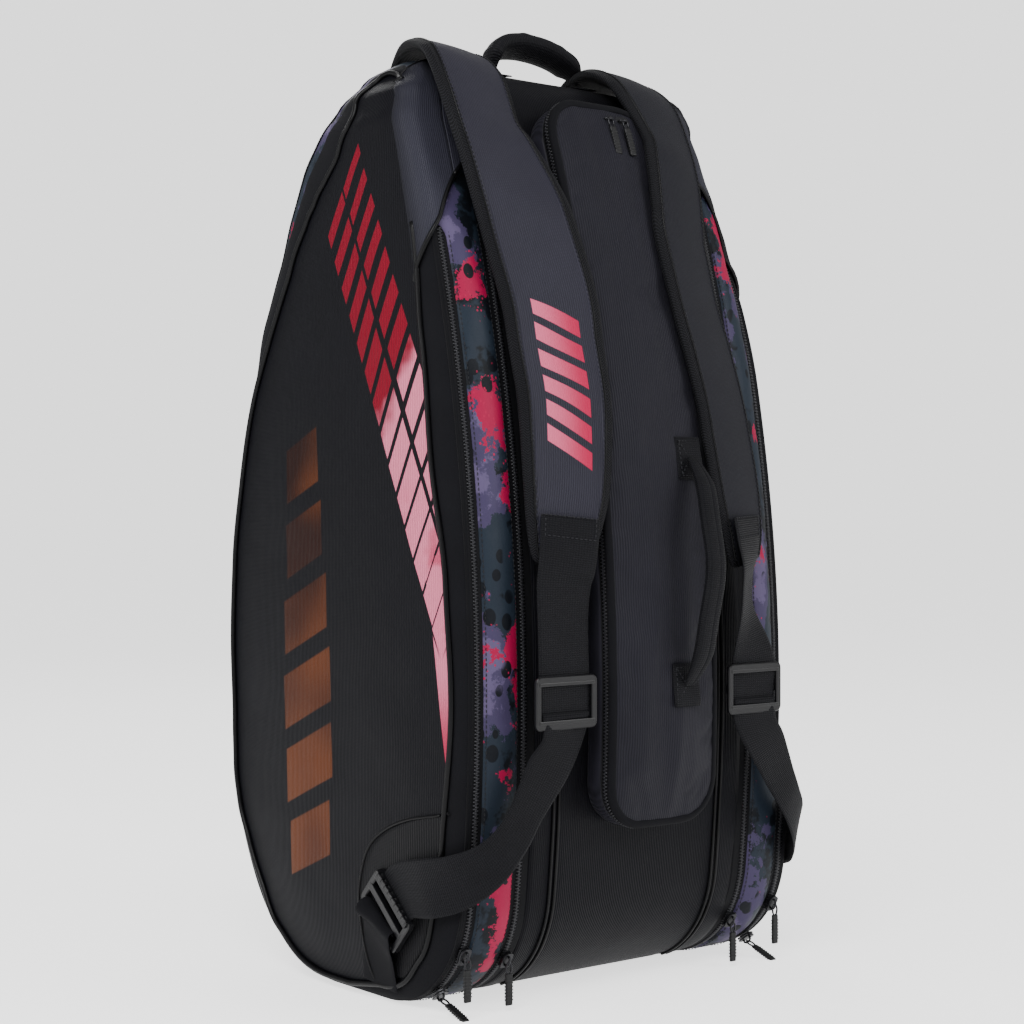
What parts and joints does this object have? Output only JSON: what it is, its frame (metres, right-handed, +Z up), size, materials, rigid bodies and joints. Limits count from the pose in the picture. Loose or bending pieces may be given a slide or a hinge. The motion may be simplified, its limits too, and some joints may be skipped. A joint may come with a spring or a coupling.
{
  "type": "racket tournament bag",
  "caption": "Tall padded bag that stands on end: three zipped racket compartments, a back pocket, two shoulder straps and two handles.",
  "frame": {"origin": "middle of the flat base that the bag stands on", "axes": "+Z up along the bag's length, -Y out of the strap side, X across the stack of compartments"},
  "size_m": [0.4086, 0.3922, 0.7899],
  "materials": {
    "ribbed_fabric": "fine ribbed weave, satin",
    "panel_fabric": "fine ribbed weave with a printed lattice",
    "blotch_fabric": "coated weave with a blotched print in slate, lavender and crimson",
    "lining": "plain weave",
    "zip_tape": "woven tape with coil teeth",
    "piping": "smooth cord",
    "strap_fabric": "ribbed weave with twill binding",
    "webbing": "ribbed webbing",
    "moulded_plastic": "fine-grained",
    "slider_metal": "satin black",
    "pull_rubber": "textured",
    "board": "flat board"
  },
  "bodies": {
    "core": {"centre_band": "ribbed_fabric", "centre_zip_tapes": "zip_tape", "ridge_pipings": "ribbed_fabric", "base_board": "board", "pocket_wall": "ribbed_fabric", "pocket_zip_tape_outer": "zip_tape", "grab_tabs": "webbing"},
    "pocket_flap": {"pocket_panel": "ribbed_fabric", "pocket_zip_tape_inner": "zip_tape", "carry_patches": "webbing"},
    "carry_loop": {"carry_handle": "webbing"},
    "grab_loop": {"grab_handle": "strap_fabric"},
    "pocket_slider_a": {"pocket_slider_a": "slider_metal"},
    "pocket_slider_b": {"pocket_slider_b": "slider_metal"},
    "pocket_pull_a": {"pocket_pull_a": "pull_rubber"},
    "pocket_pull_b": {"pocket_pull_b": "pull_rubber"},
    "left_wing": {"left_gusset": "blotch_fabric", "left_divider": "lining", "left_inner_zip_tape": "zip_tape", "left_outer_zip_tape": "zip_tape"},
    "left_cover": {"left_outer_zip_tape_cover": "zip_tape", "left_rim": "panel_fabric", "left_cover_panel": "panel_fabric", "left_cover_piping": "piping", "left_strap_yoke": "strap_fabric", "left_anchor_tab": "webbing", "left_ladder_lock": "moulded_plastic", "left_lower_webbing": "webbing", "left_strap_root": "strap_fabric"},
    "left_strap": {"left_strap_pad": "strap_fabric", "left_upper_webbing": "webbing"},
    "left_adjuster": {"left_tri_glide": "moulded_plastic"},
    "left_outer_slider_a": {"left_outer_slider_a": "slider_metal"},
    "left_outer_pull_a": {"left_outer_pull_a": "pull_rubber"},
    "left_outer_slider_b": {"left_outer_slider_b": "slider_metal"},
    "left_outer_pull_b": {"left_outer_pull_b": "pull_rubber"},
    "left_inner_slider": {"left_inner_slider": "slider_metal"},
    "left_inner_pull": {"left_inner_pull": "pull_rubber"},
    "right_wing": {"right_gusset": "blotch_fabric", "right_divider": "lining", "right_inner_zip_tape": "zip_tape", "right_outer_zip_tape": "zip_tape"},
    "right_cover": {"right_outer_zip_tape_cover": "zip_tape", "right_rim": "panel_fabric", "right_cover_panel": "panel_fabric", "right_cover_piping": "piping", "right_strap_yoke": "strap_fabric", "right_anchor_tab": "webbing", "right_ladder_lock": "moulded_plastic", "right_lower_webbing": "webbing", "right_strap_root": "strap_fabric"},
    "right_strap": {"right_strap_pad": "strap_fabric", "right_upper_webbing": "webbing"},
    "right_adjuster": {"right_tri_glide": "moulded_plastic"},
    "right_outer_slider_a": {"right_outer_slider_a": "slider_metal"},
    "right_outer_pull_a": {"right_outer_pull_a": "pull_rubber"},
    "right_outer_slider_b": {"right_outer_slider_b": "slider_metal"},
    "right_outer_pull_b": {"right_outer_pull_b": "pull_rubber"},
    "right_inner_slider": {"right_inner_slider": "slider_metal"},
    "right_inner_pull": {"right_inner_pull": "pull_rubber"}
  },
  "joints": [
    {"name": "pocket_flap_hinge", "type": "hinge", "parent": "core", "child": "pocket_flap", "pos_m": [0.0575, -0.17955, 0.42951], "axis": [0, 0.1329, 0.9911], "range_deg": [0, 80]},
    {"name": "carry_loop_swing", "type": "hinge", "parent": "pocket_flap", "child": "carry_loop", "pos_m": [0.0225, -0.18797, 0.338], "axis": [0.0938, 0.0685, 0.9932], "range_deg": [-30, 30]},
    {"name": "grab_loop_swing", "type": "hinge", "parent": "core", "child": "grab_loop", "pos_m": [0, -0.03, 0.7528], "axis": [1, 0, 0], "range_deg": [-30, 30]},
    {"name": "pocket_slider_a_travel", "type": "slide", "parent": "pocket_flap", "child": "pocket_slider_a", "axis": [1, 0, 0], "range_m": [-0.03, 0.002]},
    {"name": "pocket_pull_a_swing", "type": "hinge", "parent": "pocket_slider_a", "child": "pocket_pull_a", "pos_m": [0.008, -0.11877, 0.7091], "axis": [-1, 0, 0], "range_deg": [0, 80]},
    {"name": "pocket_slider_b_travel", "type": "slide", "parent": "pocket_flap", "child": "pocket_slider_b", "axis": [1, 0, 0], "range_m": [0, 0.006]},
    {"name": "pocket_pull_b_swing", "type": "hinge", "parent": "pocket_slider_b", "child": "pocket_pull_b", "pos_m": [0.024, -0.11877, 0.7091], "axis": [-1, 0, 0], "range_deg": [0, 80]},
    {"name": "left_wing_opening", "type": "hinge", "parent": "core", "child": "left_wing", "pos_m": [-0.06, 0, 0.775], "axis": [0, 1, 0], "range_deg": [0, 20]},
    {"name": "left_cover_opening", "type": "hinge", "parent": "left_wing", "child": "left_cover", "pos_m": [-0.06, 0, 0.775], "axis": [0, 1, 0], "range_deg": [0, 20]},
    {"name": "left_strap_swing", "type": "hinge", "parent": "left_cover", "child": "left_strap", "pos_m": [-0.102, -0.12088, 0.692], "axis": [-1, 0, 0], "range_deg": [0, 12]},
    {"name": "left_adjuster_travel", "type": "hinge", "parent": "left_strap", "child": "left_adjuster", "pos_m": [-0.102, 1.234, 0.24], "axis": [-1, 0, 0], "range_deg": [0, 4]},
    {"name": "left_outer_slider_a_travel", "type": "hinge", "parent": "left_wing", "child": "left_outer_slider_a", "pos_m": [-0.167, -0.06738, 0.09], "axis": [-1, 0, 0], "range_deg": [0, 15]},
    {"name": "left_outer_pull_a_swing", "type": "hinge", "parent": "left_outer_slider_a", "child": "left_outer_pull_a", "pos_m": [-0.167, -0.15274, 0.04651], "axis": [-1, 0, 0], "range_deg": [-12, 85]},
    {"name": "left_outer_slider_b_travel", "type": "hinge", "parent": "left_wing", "child": "left_outer_slider_b", "pos_m": [-0.167, -0.06738, 0.09], "axis": [1, 0, 0], "range_deg": [0, 8]},
    {"name": "left_outer_pull_b_swing", "type": "hinge", "parent": "left_outer_slider_b", "child": "left_outer_pull_b", "pos_m": [-0.167, -0.12095, 0.01058], "axis": [-1, 0, 0], "range_deg": [0, 24]},
    {"name": "left_inner_slider_travel", "type": "hinge", "parent": "core", "child": "left_inner_slider", "pos_m": [-0.122, -0.06738, 0.09], "axis": [-1, 0, 0], "range_deg": [0, 15]},
    {"name": "left_inner_pull_swing", "type": "hinge", "parent": "left_inner_slider", "child": "left_inner_pull", "pos_m": [-0.122, -0.14681, 0.03643], "axis": [-1, 0, 0], "range_deg": [-12, 85]},
    {"name": "right_wing_opening", "type": "hinge", "parent": "core", "child": "right_wing", "pos_m": [0.06, 0, 0.775], "axis": [0, -1, 0], "range_deg": [0, 20]},
    {"name": "right_cover_opening", "type": "hinge", "parent": "right_wing", "child": "right_cover", "pos_m": [0.06, 0, 0.775], "axis": [0, -1, 0], "range_deg": [0, 20]},
    {"name": "right_strap_swing", "type": "hinge", "parent": "right_cover", "child": "right_strap", "pos_m": [0.102, -0.12088, 0.692], "axis": [-1, 0, 0], "range_deg": [0, 12]},
    {"name": "right_adjuster_travel", "type": "hinge", "parent": "right_strap", "child": "right_adjuster", "pos_m": [0.102, 1.234, 0.24], "axis": [-1, 0, 0], "range_deg": [0, 4]},
    {"name": "right_outer_slider_a_travel", "type": "hinge", "parent": "right_wing", "child": "right_outer_slider_a", "pos_m": [0.167, -0.06738, 0.09], "axis": [-1, 0, 0], "range_deg": [0, 15]},
    {"name": "right_outer_pull_a_swing", "type": "hinge", "parent": "right_outer_slider_a", "child": "right_outer_pull_a", "pos_m": [0.167, -0.15274, 0.04651], "axis": [-1, 0, 0], "range_deg": [-12, 85]},
    {"name": "right_outer_slider_b_travel", "type": "hinge", "parent": "right_wing", "child": "right_outer_slider_b", "pos_m": [0.167, -0.06738, 0.09], "axis": [1, 0, 0], "range_deg": [0, 8]},
    {"name": "right_outer_pull_b_swing", "type": "hinge", "parent": "right_outer_slider_b", "child": "right_outer_pull_b", "pos_m": [0.167, -0.12095, 0.01058], "axis": [-1, 0, 0], "range_deg": [0, 24]},
    {"name": "right_inner_slider_travel", "type": "hinge", "parent": "core", "child": "right_inner_slider", "pos_m": [0.122, -0.06738, 0.09], "axis": [-1, 0, 0], "range_deg": [0, 15]},
    {"name": "right_inner_pull_swing", "type": "hinge", "parent": "right_inner_slider", "child": "right_inner_pull", "pos_m": [0.122, -0.14681, 0.03643], "axis": [-1, 0, 0], "range_deg": [-12, 85]}
  ]
}
